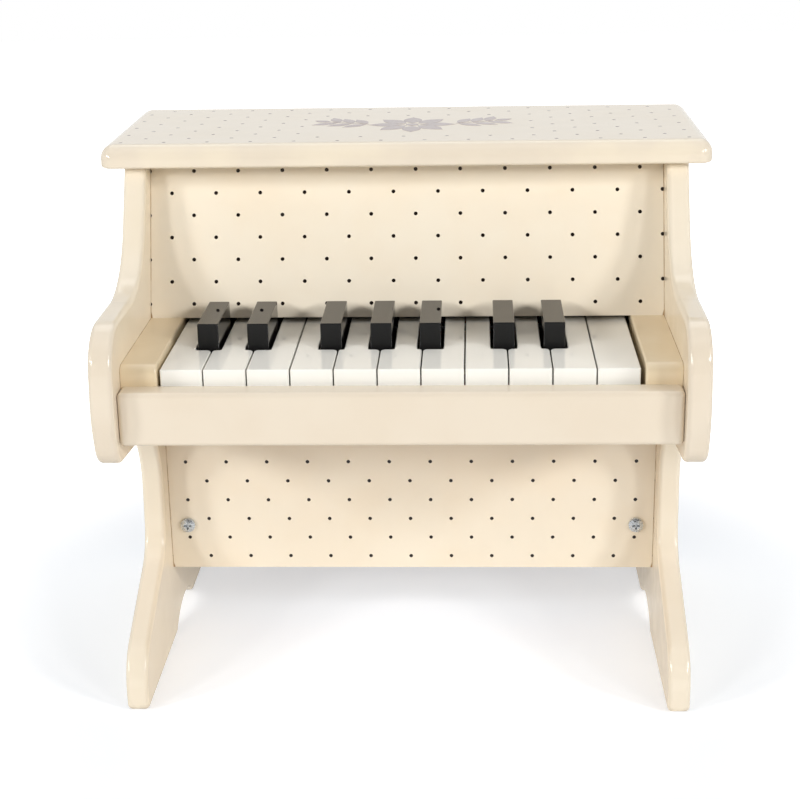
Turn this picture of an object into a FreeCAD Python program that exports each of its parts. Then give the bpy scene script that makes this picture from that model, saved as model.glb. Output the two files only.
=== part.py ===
"""A wooden toy upright piano with working keys, hammers and tone bars.

The floor is Z zero, X runs to the right along the keyboard and Y runs to the back. The origin lies on the
floor under the middle of the piano. Heights are measured from the floor, and a reach is measured to the
front of the lower panel's face, or to the back of it for the pieces inside the case.
"""
import FreeCAD, Part
import math
import os

import Sketcher

Vector = FreeCAD.Vector

WHITE_KEYS = 11
# The middle of each black key, as a share of the keyboard from its left end.
BLACK_MIDDLE_SHARES = (0.0824, 0.1904, 0.3484, 0.4564, 0.5620, 0.7200, 0.8280)
# The most that a rounding may take of the width of a cut beside a black key.
NOTCH_ROUND_SHARE = 0.6
NOTCH_INNER_ROUND_SHARE = 0.3
TONES_IN_OCTAVE = 12
# A free bar swings about two still points, this share of its length from each end.
STILL_POINT_SHARE = 0.224
CROSS_ARMS = 2
SAME_PLACE = 0.001

SIZES = (
    ("side_thickness", 11.7, "thickness of a side board"),
    ("side_edge_round", 2.5, "rounding along the edges of a side board"),
    ("side_back_reach", 108.0, "back edge of the side boards"),
    ("case_rise", 117.0, "underside of the lid above the underside of the key bed"),
    ("side_top_reach", 3.9, "front edge of a side board under the lid"),
    ("cheek_reach", 34.0, "corner where the sloping cheek meets the arm"),
    ("cheek_round", 51.0, "hollow rounding between cheek and arm"),
    ("arm_rise", 59.5, "top of the arm above the underside of the key bed"),
    ("nose_top_reach", 119.5, "upper corner of the nose"),
    ("nose_top_round", 24.0, "rounding of the upper corner of the nose"),
    ("nose_reach", 123.7, "foremost point of the nose"),
    ("nose_trim", 0.7758, "what the rounding takes off the foremost corner of the nose"),
    ("nose_round", 50.0, "rounding of the foremost corner of the nose"),
    ("nose_rise", 15.8, "foremost corner above the underside of the key bed"),
    ("nose_bottom_reach", 117.4, "lower corner of the nose"),
    ("nose_bottom_drop", 9.8, "lower corner of the nose below the underside of the key bed"),
    ("nose_bottom_round", 14.2, "rounding of the lower corner of the nose"),
    ("knee_reach", 13.0, "corner where the arm's underside meets the leg"),
    ("knee_drop", 20.8, "that corner below the underside of the key bed"),
    ("knee_round", 43.0, "hollow rounding between arm and leg"),
    ("ankle_reach", 19.0, "corner where the leg meets the foot"),
    ("ankle_height", 62.8, "height of that corner"),
    ("ankle_round", 22.0, "hollow rounding between leg and foot"),
    ("toe_reach", 92.5, "front of the foot"),
    ("toe_height", 28.5, "height of the toe's upper corner"),
    ("toe_round", 25.0, "rounding of the toe's upper corner"),
    ("foot_corner_round", 3.5, "rounding of the corners that stand on the floor"),
    ("arch_middle", 29.0, "middle of the arch under a side board"),
    ("arch_width", 58.0, "width of that arch on the floor"),
    ("arch_rise", 10.0, "height of that arch"),
    ("lid_thickness", 12.0, "thickness of the lid"),
    ("lid_overhang", 11.7, "lid beyond the outer face of a side board"),
    ("lid_front_overhang", 7.1, "lid before the side boards"),
    ("lid_back_overhang", 7.5, "lid behind the side boards"),
    ("lid_front_round", 7.5, "rounding along the lid's upper front edge"),
    ("lid_side_round", 7.0, "rounding along the lid's upper side edges and its front corners"),
    ("lid_back_round", 4.5, "rounding along the lid's upper back edge and its back corners"),
    ("lid_under_round", 1.4, "rounding along the lid's lower edge"),
    ("lid_cleat_width", 14.0, "width and depth of the strips under the lid"),
    ("lid_cleat_gap", 7.0, "strips under the lid behind the upper panel"),
    ("lower_panel_thickness", 6.0, "thickness of the lower panel"),
    ("lower_panel_height", 42.0, "floor to the lower panel"),
    ("lower_cleat_width", 16.0, "width and depth of the strips behind the lower panel"),
    ("upper_panel_thickness", 6.0, "thickness of the upper panel"),
    ("upper_panel_reach", 17.2, "lower front edge of the upper panel"),
    ("upper_panel_lean", 19.2, "lean of the upper panel to the back, in degrees"),
    ("back_panel_thickness", 4.0, "thickness of the back panel"),
    ("back_panel_inset", 6.0, "back panel inside the back edge of the side boards"),
    ("bed_height", 158.5, "floor to the underside of the key bed"),
    ("bed_thickness", 11.5, "thickness of the key bed"),
    ("rail_front_reach", 115.5, "front face of the rail before the keys"),
    ("rail_thickness", 12.0, "thickness of the front rail"),
    ("rail_height", 27.2, "height of the front rail"),
    ("rail_end_round", 2.6, "upright rounding at the ends of the front rail"),
    ("rail_edge_round", 2.4, "rounding along the front rail"),
    ("block_width", 18.0, "width of a key block"),
    ("key_cover_gap", 2.7, "top of the white keys under the upper panel"),
    ("block_back_reach", 14.0, "back end of a key block"),
    ("block_front_round", 4.6, "rounding of a key block's upper front edge"),
    ("block_edge_round", 1.2, "rounding along a key block's edge beside the keys"),
    ("white_pitch", 21.42, "one white key and its gap"),
    ("keyboard_shift", 0.5, "how far the keys lie left of the middle"),
    ("keyboard_end_gap", 1.35, "gap at each end of the keyboard, with the keys in the middle"),
    ("key_gap", 0.7, "gap between two white keys"),
    ("key_front_gap", 2.5, "gap between the front rail and the white keys"),
    ("key_tail_overlap", 8.0, "back end of the keys behind the middle of the hammers' feet"),
    ("key_height", 14.7, "height of a white key"),
    ("key_lift", 8.5, "underside of the keys above the bed"),
    ("key_corner_round", 0.9, "upright rounding of a white key's front corners"),
    ("key_edge_round", 0.6, "rounding along the top of a white key"),
    ("notch_round", 2.6, "rounding where a white key is cut away for a black key"),
    ("notch_inner_round", 1.2, "hollow rounding inside that cut"),
    ("black_width", 11.0, "width of a black key at its underside"),
    ("black_top_width", 10.7, "width of a black key at its top"),
    ("black_side_gap", 1.15, "gap beside a black key"),
    ("black_front_gap", 2.2, "gap before a black key"),
    ("black_front_reach", 65.2, "front of the black keys"),
    ("black_back_gap", 4.8, "raised part of a black key before the upper panel"),
    ("black_rise", 13.0, "top of a black key above the white keys"),
    ("black_lever_drop", 1.5, "lever of a black key below the top of the white keys"),
    ("black_edge_round", 0.5, "rounding along a black key"),
    ("pivot_reach", 2.0, "pivot rod before the lower panel's face"),
    ("pivot_rise", 7.0, "pivot rod above the underside of the keys"),
    ("pivot_rod_diameter", 4.0, "diameter of the pivot rod"),
    ("pivot_rod_seat", 10.0, "depth of the pivot rod's holes in the key blocks"),
    ("rod_clearance", 0.06, "clearance around a rod, on the radius"),
    ("rod_end_gap", 0.3, "gap at each end of a rod"),
    ("seat_gap", 0.35, "gap between a moving piece and what it rests on"),
    ("stop_felt_thickness", 3.9, "felt that ends the fall of all keys"),
    ("stop_felt_width", 14.0, "width of that felt"),
    ("stop_felt_setback", 1.5, "that felt behind the front of the black keys"),
    ("rest_strip_setback", 6.0, "soft strip before the back end of the keys"),
    ("rest_strip_width", 14.0, "width of that strip"),
    ("hammer_rod_setback", 12.0, "hammer rod before the back panel"),
    ("hammer_rod_rise", 12.5, "hammer rod above the top of the keys"),
    ("hammer_rod_diameter", 4.0, "diameter of the hammer rod"),
    ("hammer_rod_seat", 6.0, "depth of the hammer rod's holes in the side boards"),
    ("hammer_width", 7.0, "width of a hammer's arm"),
    ("hammer_hub_length", 9.0, "length of a hammer's hub"),
    ("hammer_hub_diameter", 10.0, "diameter of a hammer's hub"),
    ("hammer_arm_depth", 6.0, "depth of a hammer's arm"),
    ("hammer_foot_reach", 24.0, "hammer rod to the middle of the foot that the key lifts"),
    ("hammer_foot_width", 6.0, "width of that foot"),
    ("hammer_head_reach", 34.0, "hammer rod to the middle of the hammer's head"),
    ("hammer_head_width", 8.0, "width of the hammer's head"),
    ("hammer_round", 2.4, "rounding of a hammer's foot and head"),
    ("hammer_blow", 6.4, "hammer's head to the tone bar at rest"),
    ("bar_rise", 37.0, "underside of the tone bars above the hammer rod"),
    ("bar_middle_setback", 31.0, "middle of the tone bars before the hammer rod"),
    ("bar_longest", 80.0, "length of the longest tone bar"),
    ("bar_width", 9.5, "width of a tone bar"),
    ("bar_thickness", 3.0, "thickness of a tone bar"),
    ("bar_hole_diameter", 3.0, "holes for the pins in a tone bar"),
    ("bar_felt_thickness", 2.0, "felt under the tone bars"),
    ("bar_rail_width", 8.0, "width of a rail under the tone bars"),
    ("bar_rail_height", 10.0, "height of such a rail"),
    ("pin_diameter", 1.8, "diameter of a tone bar's pin"),
    ("pin_clearance", 0.1, "clearance around a pin or a screw, on the radius"),
    ("pin_depth", 8.0, "depth of a pin in the rail"),
    ("pin_head_diameter", 4.4, "diameter of a pin's head"),
    ("pin_head_height", 1.2, "height of a pin's head"),
    ("screw_diameter", 3.5, "shank of a screw"),
    ("screw_length", 16.0, "length of a screw under its head"),
    ("screw_head_diameter", 8.2, "head of a screw"),
    ("screw_head_height", 2.6, "height of a screw's head"),
    ("screw_crown_diameter", 4.6, "flat crown of a screw's head"),
    ("screw_crown_drop", 0.8, "fall from the crown to the upright rim of the head"),
    ("screw_slot_length", 4.4, "length of a cross slot"),
    ("screw_slot_width", 1.1, "width of a cross slot"),
    ("screw_slot_depth", 1.6, "depth of a cross slot"),
    ("lower_screw_inset", 10.0, "lower panel's screws from the side boards"),
    ("lower_screw_rise", 26.5, "lower panel's screws above its lower edge"),
    ("back_screw_inset", 30.0, "back panel's outer screws from the side boards"),
    ("hole_overrun", 1.0, "how far a drilled hole runs past a face"),
)


class Measure:
    """A size that knows both its value and the expression that gives it from the sheet."""

    def __init__(self, value, text):
        self.value = value
        self.text = text

    def join(self, other, sign, value):
        return Measure(value, "(%s %s %s)" % (self.text, sign, other.text))

    def __add__(self, other):
        return self.join(other, "+", self.value + other.value)

    def __sub__(self, other):
        return self.join(other, "-", self.value - other.value)

    def __neg__(self):
        return Measure(-self.value, "(-1 * %s)" % self.text)

    def __mul__(self, count):
        return Measure(self.value * count, "(%s * %.12g)" % (self.text, count))

    def __truediv__(self, count):
        return Measure(self.value / count, "(%s / %.12g)" % (self.text, count))

    def at_most(self, limit):
        return Measure(min(self.value, limit.value), "min(%s; %s)" % (self.text, limit.text))

    def times_tangent(self, angle):
        slope = math.tan(math.radians(angle.value))
        return Measure(self.value * slope, "(%s * tan(%s))" % (self.text, angle.text))

    def over_cosine(self, angle):
        share = math.cos(math.radians(angle.value))
        return Measure(self.value / share, "(%s / cos(%s))" % (self.text, angle.text))


class Sizes:
    """The driving dimensions, each written once in the document's sheet."""

    def __init__(self, document, rows):
        sheet = document.addObject("Spreadsheet::Sheet", "Sizes")
        for row, (alias, value, meaning) in enumerate(rows, start=1):
            sheet.set("A%d" % row, meaning)
            sheet.set("B%d" % row, "%.12g" % value)
            sheet.setAlias("B%d" % row, alias)
            setattr(self, alias, Measure(value, "Sizes.%s" % alias))


doc = FreeCAD.newDocument("ToyPiano")
size = Sizes(doc, SIZES)
subparts = []

NONE = Measure(0.0, "0")

# Places that several pieces share.
lid_front = -(size.side_top_reach + size.lid_front_overhang)
lid_back = size.side_back_reach + size.lid_back_overhang
datum = (size.nose_reach - lid_back) / 2
keyboard_width = size.white_pitch * WHITE_KEYS + size.keyboard_end_gap * 2
block_inner = keyboard_width / 2
half_inner = block_inner + size.block_width
inner_width = half_inner * 2
lid_underside = size.bed_height + size.case_rise
bed_top = size.bed_height + size.bed_thickness
key_underside = bed_top + size.key_lift
key_top = key_underside + size.key_height
pivot_height = key_underside + size.pivot_rise
block_top = key_top + size.key_cover_gap
block_height = block_top - bed_top
rail_back = -size.rail_front_reach + size.rail_thickness
key_front = rail_back + size.key_front_gap
black_front = -size.black_front_reach
black_back = -(size.upper_panel_reach + size.black_back_gap)
arm_top = size.bed_height + size.arm_rise
back_panel_outside = size.side_back_reach - size.back_panel_inset
back_panel_inside = back_panel_outside - size.back_panel_thickness
hammer_rod_place = back_panel_inside - size.hammer_rod_setback
key_tail = hammer_rod_place - size.hammer_foot_reach + size.key_tail_overlap
bar_middle = hammer_rod_place - size.bar_middle_setback
panel_lean = (lid_underside - block_top).times_tangent(size.upper_panel_lean)
panel_depth = size.upper_panel_thickness.over_cosine(size.upper_panel_lean)
hammer_height = key_top + size.hammer_rod_rise
bar_underside = hammer_height + size.bar_rise
bar_rail_top = bar_underside - size.bar_felt_thickness
cleat_underside = lid_underside - size.lid_cleat_width


def bind(item, prop, measure):
    """Tie a property to the sheet."""
    item.setExpression(prop, measure.text)


def place(item, x, y, z):
    """Tie an object's place to the sheet."""
    bind(item, "Placement.Base.x", x)
    bind(item, "Placement.Base.y", y)
    bind(item, "Placement.Base.z", z)


def keep(item, node):
    """Make an object one of the piano's named pieces."""
    item.Label = node
    subparts.append(item)
    return item


def box(name, corner, spans):
    """A board whose lowest corner and whose three spans follow the sheet."""
    board = doc.addObject("Part::Box", name)
    for prop, span in zip(("Length", "Width", "Height"), spans):
        bind(board, prop, span)
    place(board, *corner)
    return board


def cylinder(name, start, turn, diameter, length):
    """A round rod from a start point, along Z unless it is turned."""
    rod = doc.addObject("Part::Cylinder", name)
    rod.Placement = FreeCAD.Placement(Vector(), turn)
    bind(rod, "Radius", diameter / 2)
    bind(rod, "Height", length)
    place(rod, *start)
    return rod


UPRIGHT = FreeCAD.Rotation()
TO_THE_RIGHT = FreeCAD.Rotation(Vector(0, 1, 0), 90)
TO_THE_BACK = FreeCAD.Rotation(Vector(1, 0, 0), -90)


def group(name, members):
    """Several solids held together as one object."""
    bunch = doc.addObject("Part::Compound", name)
    bunch.Links = members
    return bunch


def cut(name, base, tool):
    """A piece with another shape taken out of it."""
    result = doc.addObject("Part::Cut", name)
    result.Base = base
    result.Tool = tool
    return result


def new_body(node, x, y, z):
    """An empty body that will become a named piece."""
    body = doc.addObject("PartDesign::Body", node)
    place(body, x, y, z)
    return keep(body, node)


def new_sketch(body, name, role, lift=NONE):
    """A sketch on one of the body's own planes, lifted along the plane's normal."""
    sketch = body.newObject("Sketcher::SketchObject", name)
    base = [plane for plane in body.Origin.OriginFeatures if plane.Role == role]
    sketch.AttachmentSupport = [(base[0], "")]
    sketch.MapMode = "FlatFace"
    bind(sketch, "AttachmentOffset.Base.z", lift)
    return sketch


def dimension(sketch, constraint, measure):
    """Add a dimension to a sketch and tie it to the sheet."""
    index = sketch.addConstraint(constraint)
    bind(sketch, "Constraints[%d]" % index, measure)


def outline(body, name, role, corners, lift=NONE):
    """A closed outline of straight lines, with every corner tied to the sheet."""
    sketch = new_sketch(body, name, role, lift)
    count = len(corners)
    spots = [Vector(across.value, along.value, 0) for across, along in corners]
    for index, spot in enumerate(spots):
        sketch.addGeometry(Part.LineSegment(spot, spots[(index + 1) % count]), False)
    for index in range(count):
        sketch.addConstraint(Sketcher.Constraint("Coincident", index, 2, (index + 1) % count, 1))
    for index, (across, along) in enumerate(corners):
        dimension(sketch, Sketcher.Constraint("DistanceX", -1, 1, index, 1, across.value), across)
        dimension(sketch, Sketcher.Constraint("DistanceY", -1, 1, index, 1, along.value), along)
    return sketch


def circle(body, name, role, across, along, radius, lift=NONE):
    """A round outline, with its middle and its radius tied to the sheet."""
    sketch = new_sketch(body, name, role, lift)
    middle = Vector(across.value, along.value, 0)
    sketch.addGeometry(Part.Circle(middle, Vector(0, 0, 1), radius.value), False)
    dimension(sketch, Sketcher.Constraint("DistanceX", -1, 1, 0, 3, across.value), across)
    dimension(sketch, Sketcher.Constraint("DistanceY", -1, 1, 0, 3, along.value), along)
    dimension(sketch, Sketcher.Constraint("Radius", 0, radius.value), radius)
    return sketch


def pad(body, name, sketch, length, backwards=False):
    """Raise an outline into a solid."""
    feature = body.newObject("PartDesign::Pad", name)
    feature.Profile = sketch
    feature.Reversed = backwards
    bind(feature, "Length", length)
    return feature


def pocket(body, name, sketch, length, backwards=False):
    """Sink an outline into a solid, and make sure that it took something away."""
    doc.recompute()
    before = body.Shape.Volume
    feature = body.newObject("PartDesign::Pocket", name)
    feature.Profile = sketch
    feature.Reversed = backwards
    bind(feature, "Length", length)
    doc.recompute()
    if body.Shape.Volume >= before:
        raise ValueError("%s cuts nothing from %s" % (name, body.Label))
    return feature


def rounding(body, name, base, radius, chosen):
    """Round the chosen edges of the solid so far."""
    doc.recompute()
    edges = ["Edge%d" % number for number, edge in enumerate(base.Shape.Edges, start=1) if chosen(edge)]
    if not edges:
        raise ValueError("%s finds no edge on %s" % (name, body.Label))
    feature = body.newObject("PartDesign::Fillet", name)
    feature.Base = (base, edges)
    bind(feature, "Radius", radius)
    body.Tip = feature
    return feature


def near(first, second):
    return abs(first - second) < SAME_PLACE


def spread(edge, axis):
    """The lowest and highest place of an edge along an axis."""
    box_of_edge = edge.BoundBox
    return (
        (box_of_edge.XMin, box_of_edge.XMax),
        (box_of_edge.YMin, box_of_edge.YMax),
        (box_of_edge.ZMin, box_of_edge.ZMax),
    )["XYZ".index(axis)]


def lies_at(edge, axis, measure):
    """Whether the whole edge lies at one place along an axis."""
    low, high = spread(edge, axis)
    return near(low, measure.value) and near(high, measure.value)


def on_corner(first_axis, first, second_axis, second):
    """A test for the straight edge that stands on one corner of an outline."""
    return lambda edge: lies_at(edge, first_axis, first) and lies_at(edge, second_axis, second)


def side_corners():
    """The outline of a side board, from the lid's front edge down to the floor and back up."""
    nose_height = size.bed_height + size.nose_rise
    nose_bottom = size.bed_height - size.nose_bottom_drop
    knee_height = size.bed_height - size.knee_drop
    return {
        "lid_back": (size.side_back_reach, lid_underside, None),
        "lid_front": (-size.side_top_reach, lid_underside, None),
        "cheek": (-size.cheek_reach, arm_top, size.cheek_round),
        "nose_top": (-size.nose_top_reach, arm_top, size.nose_top_round),
        "nose": (-(size.nose_reach + size.nose_trim), nose_height, size.nose_round),
        "nose_bottom": (-size.nose_bottom_reach, nose_bottom, size.nose_bottom_round),
        "knee": (-size.knee_reach, knee_height, size.knee_round),
        "ankle": (-size.ankle_reach, size.ankle_height, size.ankle_round),
        "toe_top": (-size.toe_reach, size.toe_height, size.toe_round),
        "toe": (-size.toe_reach, NONE, size.foot_corner_round),
        "heel": (size.side_back_reach, NONE, size.foot_corner_round),
    }


def arch_radius():
    """The radius of the arch under a side board, from its width and its rise."""
    half = size.arch_width / 2
    value = (half.value ** 2 + size.arch_rise.value ** 2) / (2 * size.arch_rise.value)
    text = "((%s ^ 2 + %s ^ 2) / (2 * %s))" % (half.text, size.arch_rise.text, size.arch_rise.text)
    return Measure(value, text)


def side_board(node, outer_left, bore_lift, bore_backwards):
    """A side board, cut from one outline, with a blind hole for the hammer rod in its inner face."""
    body = new_body(node, outer_left, datum, NONE)
    corners = side_corners()
    profile = outline(body, node + "_profile", "YZ_Plane", [corner[:2] for corner in corners.values()])
    shape = pad(body, node + "_board", profile, size.side_thickness)
    radius = arch_radius()
    arch = circle(body, node + "_arch_line", "YZ_Plane", size.arch_middle, size.arch_rise - radius, radius)
    shape = pocket(body, node + "_arch", arch, size.side_thickness, backwards=True)
    for name, (across, along, corner_round) in corners.items():
        if corner_round:
            corner = on_corner("Y", across, "Z", along)
            shape = rounding(body, "%s_%s" % (node, name), shape, corner_round, corner)
    for end in (size.arch_middle - size.arch_width / 2, size.arch_middle + size.arch_width / 2):
        corner = on_corner("Y", end, "Z", NONE)
        shape = rounding(body, node + "_arch_end", shape, size.foot_corner_round, corner)

    def along_face(edge):
        on_face = lies_at(edge, "X", NONE) or lies_at(edge, "X", size.side_thickness)
        return on_face and not lies_at(edge, "Z", lid_underside)

    rounding(body, node + "_edges", shape, size.side_edge_round, along_face)
    bore = size.hammer_rod_diameter / 2 + size.rod_clearance
    seat = circle(body, node + "_seat", "YZ_Plane", hammer_rod_place, hammer_height, bore, bore_lift)
    pocket(body, node + "_rod_hole", seat, size.hammer_rod_seat, bore_backwards)


def side_boards():
    side_board("left_side", -(half_inner + size.side_thickness), size.side_thickness, False)
    side_board("right_side", half_inner, NONE, True)


def lid():
    """The top board, with a bold rounding along the front, a smaller one at the sides and the least behind.

    Each rounding runs on along the edges that it meets smoothly, so the last two also round the corners.
    """
    half_width = half_inner + size.side_thickness + size.lid_overhang
    body = new_body("lid", NONE, datum, lid_underside)
    corners = [
        (-half_width, lid_front),
        (half_width, lid_front),
        (half_width, lid_back),
        (-half_width, lid_back),
    ]
    shape = pad(body, "lid_board", outline(body, "lid_plan", "XY_Plane", corners), size.lid_thickness)
    top = size.lid_thickness
    ends = [on_corner("X", -half_width, "Z", top), on_corner("X", half_width, "Z", top)]
    shape = rounding(body, "lid_front_edge", shape, size.lid_front_round, on_corner("Y", lid_front, "Z", top))
    shape = rounding(body, "lid_side_edges", shape, size.lid_side_round,
                     lambda edge: any(test(edge) for test in ends))
    shape = rounding(body, "lid_back_edge", shape, size.lid_back_round, on_corner("Y", lid_back, "Z", top))
    rounding(body, "lid_under_edge", shape, size.lid_under_round, lambda edge: lies_at(edge, "Z", NONE))


def upper_panel():
    """The leaning board above the keys, from the key blocks up to the lid."""
    front = -size.upper_panel_reach
    corners = [
        (front, block_top),
        (front + panel_depth, block_top),
        (front + panel_depth + panel_lean, lid_underside),
        (front + panel_lean, lid_underside),
    ]
    body = new_body("upper_panel", -half_inner, datum, NONE)
    pad(body, "upper_panel_board", outline(body, "upper_panel_profile", "YZ_Plane", corners), inner_width)


def screw_spots():
    """Where the lower panel's screws are, left and right."""
    across = half_inner - size.lower_screw_inset
    height = size.lower_panel_height + size.lower_screw_rise
    return [(-across, height), (across, height)]


def back_screw_spots():
    """Where the back panel's screws are: a row into the key bed and a row into the strip under the lid."""
    outer = half_inner - size.back_screw_inset
    rows = (size.bed_height + size.bed_thickness / 2, lid_underside - size.lid_cleat_width / 2)
    return [(across, height) for height in rows for across in (-outer, NONE, outer)]


def screw_holes(name, spots, start, length):
    """Drills for the screws that run along Y."""
    diameter = size.screw_diameter + size.pin_clearance * 2
    drills = []
    for across, height in spots:
        drills.append(cylinder(name + "_drill", (across, start, height), TO_THE_BACK, diameter, length))
    return group(name, drills)


def lower_panel():
    """The upright board between the legs and the strips behind it, drilled for its two screws."""
    thickness = size.lower_panel_thickness
    height = size.bed_height - size.lower_panel_height
    board = box("lower_panel_board", (-half_inner, NONE, size.lower_panel_height),
                (inner_width, thickness, height))
    through = thickness + size.hole_overrun * 2
    drills = screw_holes("lower_panel_drills", screw_spots(), -size.hole_overrun, through)
    panel = keep(cut("lower_panel", board, drills), "lower_panel")
    place(panel, NONE, datum, NONE)

    width = size.lower_cleat_width
    strips = []
    for left in (-half_inner, half_inner - width):
        strips.append(box("cleat", (left, thickness, size.lower_panel_height), (width, width, height)))
    depth = size.screw_length - thickness + size.hole_overrun * 2
    drills = screw_holes("cleat_drills", screw_spots(), thickness - size.hole_overrun, depth)
    cleats = keep(cut("lower_panel_cleats", group("cleats", strips), drills), "lower_panel_cleats")
    place(cleats, NONE, datum, NONE)


def screws(node, spots, face, turn):
    """Cross-head screws seated on a face, with their shanks along Y."""
    body = doc.addObject("PartDesign::Body", node + "_pattern")
    shank = size.screw_diameter / 2
    head = size.screw_head_diameter / 2
    crown = size.screw_crown_diameter / 2
    rim = size.screw_head_height - size.screw_crown_drop
    corners = [
        (NONE, -size.screw_length),
        (shank, -size.screw_length + shank),
        (shank, NONE),
        (head, NONE),
        (head, rim),
        (crown, size.screw_head_height),
        (NONE, size.screw_head_height),
    ]
    sketch = outline(body, node + "_half", "XZ_Plane", corners)
    turned = body.newObject("PartDesign::Revolution", node + "_turned")
    turned.Profile = sketch
    turned.ReferenceAxis = (sketch, ["V_Axis"])
    turned.Angle = 360
    for arm in range(CROSS_ARMS):
        spans = [size.screw_slot_length / 2, size.screw_slot_width / 2]
        half_x, half_y = spans if arm == 0 else spans[::-1]
        slot = [(-half_x, -half_y), (half_x, -half_y), (half_x, half_y), (-half_x, half_y)]
        sketch = outline(body, "%s_slot_%d" % (node, arm), "XY_Plane", slot, size.screw_head_height)
        pocket(body, "%s_cross_%d" % (node, arm), sketch, size.screw_slot_depth)
    copies = []
    for across, height in spots:
        copy = doc.addObject("App::Link", node + "_copy")
        copy.LinkedObject = body
        copy.LinkTransform = True
        copy.Placement = FreeCAD.Placement(Vector(), turn)
        place(copy, across, face, height)
        copies.append(copy)
    bunch = keep(group(node, copies), node)
    place(bunch, NONE, datum, NONE)


def front_rail():
    """The rail before the keys, with rounded ends and edges."""
    body = new_body("front_rail", NONE, datum, size.bed_height)
    front = -size.rail_front_reach
    corners = [(-half_inner, front), (half_inner, front), (half_inner, rail_back), (-half_inner, rail_back)]
    plan = outline(body, "front_rail_plan", "XY_Plane", corners)
    shape = pad(body, "front_rail_board", plan, size.rail_height)
    ends = [on_corner("X", -half_inner, "Y", front), on_corner("X", half_inner, "Y", front)]
    shape = rounding(body, "front_rail_ends", shape, size.rail_end_round,
                     lambda edge: any(test(edge) for test in ends))

    def along_front(edge):
        level = lies_at(edge, "Z", NONE) or lies_at(edge, "Z", size.rail_height)
        return level and spread(edge, "Y")[0] < rail_back.value - size.rail_end_round.value

    rounding(body, "front_rail_edges", shape, size.rail_edge_round, along_front)


def key_block(node, left, inner_face, seat_backwards):
    """A solid block at one end of the keyboard, with a blind hole for the pivot rod."""
    body = new_body(node, left, datum, bed_top)
    corners = [
        (rail_back, NONE),
        (size.block_back_reach, NONE),
        (size.block_back_reach, block_height),
        (rail_back, block_height),
    ]
    profile = outline(body, node + "_profile", "YZ_Plane", corners)
    shape = pad(body, node + "_board", profile, size.block_width)
    shape = rounding(body, node + "_front", shape, size.block_front_round,
                     on_corner("Y", rail_back, "Z", block_height))

    def beside_keys(edge):
        hidden = lies_at(edge, "Z", NONE) or lies_at(edge, "Y", size.block_back_reach)
        return lies_at(edge, "X", inner_face) and not hidden

    rounding(body, node + "_edge", shape, size.block_edge_round, beside_keys)
    bore = size.pivot_rod_diameter / 2 + size.rod_clearance
    rise = pivot_height - bed_top
    seat = circle(body, node + "_seat", "YZ_Plane", -size.pivot_reach, rise, bore, inner_face)
    pocket(body, node + "_rod_hole", seat, size.pivot_rod_seat, seat_backwards)


def key_blocks():
    key_block("left_key_block", -half_inner, size.block_width, False)
    key_block("right_key_block", block_inner, NONE, True)


def key_bed():
    """The board that carries the keyboard, drilled in its back edge for the back panel's screws."""
    depth = back_panel_inside - rail_back
    board = box("key_bed_board", (-half_inner, rail_back, size.bed_height),
                (inner_width, depth, size.bed_thickness))
    drills = screw_holes("key_bed_drills", back_screw_spots()[:3], *back_drill())
    bed = keep(cut("key_bed", board, drills), "key_bed")
    place(bed, NONE, datum, NONE)


def back_drill():
    """Start and length of the drills for the back panel's screws, from their tips to past the panel."""
    start = back_panel_outside - size.screw_length - size.hole_overrun
    return start, size.screw_length + size.hole_overrun * 2


def back_panel():
    """The thin board that closes the case behind the tone bars."""
    board = box("back_panel_board", (-half_inner, back_panel_inside, size.bed_height),
                (inner_width, size.back_panel_thickness, lid_underside - size.bed_height))
    drills = screw_holes("back_panel_drills", back_screw_spots(), *back_drill())
    panel = keep(cut("back_panel", board, drills), "back_panel")
    place(panel, NONE, datum, NONE)


def lid_cleats():
    """Strips under the lid along both sides and along the back panel."""
    width = size.lid_cleat_width
    back = back_panel_inside - width
    front = panel_depth + panel_lean + size.lid_cleat_gap - size.upper_panel_reach
    strips = [
        box("side_cleat", (left, front, cleat_underside), (width, back - front, width))
        for left in (-half_inner, half_inner - width)
    ]
    strips.append(box("back_cleat", (-half_inner, back, cleat_underside), (inner_width, width, width)))
    drills = screw_holes("lid_cleat_drills", back_screw_spots()[3:], *back_drill())
    cleats = keep(cut("lid_cleats", group("lid_strips", strips), drills), "lid_cleats")
    place(cleats, NONE, datum, NONE)


def felts():
    """The felt that all keys fall on and the thick soft strip under the key tails."""
    front = datum + black_front + size.stop_felt_setback
    stop = box("key_stop_felt", (-block_inner, front, bed_top),
               (keyboard_width, size.stop_felt_width, size.stop_felt_thickness))
    keep(stop, "key_stop_felt")
    front = datum + key_tail - size.rest_strip_setback - size.rest_strip_width
    rest = box("key_rest_strip", (-block_inner, front, bed_top),
               (keyboard_width, size.rest_strip_width, size.key_lift - size.seat_gap))
    keep(rest, "key_rest_strip")


def rods():
    """The steel rods that the keys and the hammers turn on."""
    pivot_end = block_inner + size.pivot_rod_seat - size.rod_end_gap
    pivot = cylinder("key_pivot_rod", (-pivot_end, datum - size.pivot_reach, pivot_height), TO_THE_RIGHT,
                     size.pivot_rod_diameter, pivot_end * 2)
    keep(pivot, "key_pivot_rod")
    hammer_end = half_inner + size.hammer_rod_seat - size.rod_end_gap
    rod = cylinder("hammer_rod", (-hammer_end, datum + hammer_rod_place, hammer_height), TO_THE_RIGHT,
                   size.hammer_rod_diameter, hammer_end * 2)
    keep(rod, "hammer_rod")


def black_middles():
    """The middle of each black key, by the white key that lies to its right."""
    middles = {}
    for share in BLACK_MIDDLE_SHARES:
        spaces = share * WHITE_KEYS
        middles[round(spaces)] = size.white_pitch * (spaces - WHITE_KEYS / 2) - size.keyboard_shift
    return middles


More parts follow.
